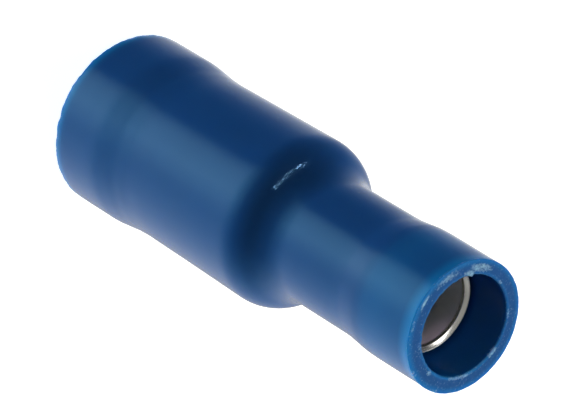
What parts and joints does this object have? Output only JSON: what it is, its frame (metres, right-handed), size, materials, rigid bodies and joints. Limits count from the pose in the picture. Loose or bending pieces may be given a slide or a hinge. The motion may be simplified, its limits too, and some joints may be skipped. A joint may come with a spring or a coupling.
{
  "type": "insulated crimp socket connector",
  "caption": "Round crimp socket in a stepped blue vinyl sleeve: a sprung tinned receptacle takes a bullet pin at one end, and a barrel at the other is crimped onto a wire.",
  "frame": {"origin": "centre of the socket mouth, on the plane of its cut rim, on which the part stands", "axes": "+Z along the axis from the socket mouth to the mouth where the wire goes in; +X towards the open seam of the receptacle"},
  "size_m": [0.0078, 0.0078, 0.0222],
  "materials": {
    "blue_vinyl": "moulded blue vinyl, satin gloss",
    "tinned_brass": "electro-tinned sheet brass, satin",
    "tinned_tube": "bright-tinned drawn tube"
  },
  "bodies": {
    "root": {"insulating_sleeve": "blue_vinyl", "receptacle": "tinned_brass", "grip_sleeve": "tinned_tube"}
  },
  "joints": []
}
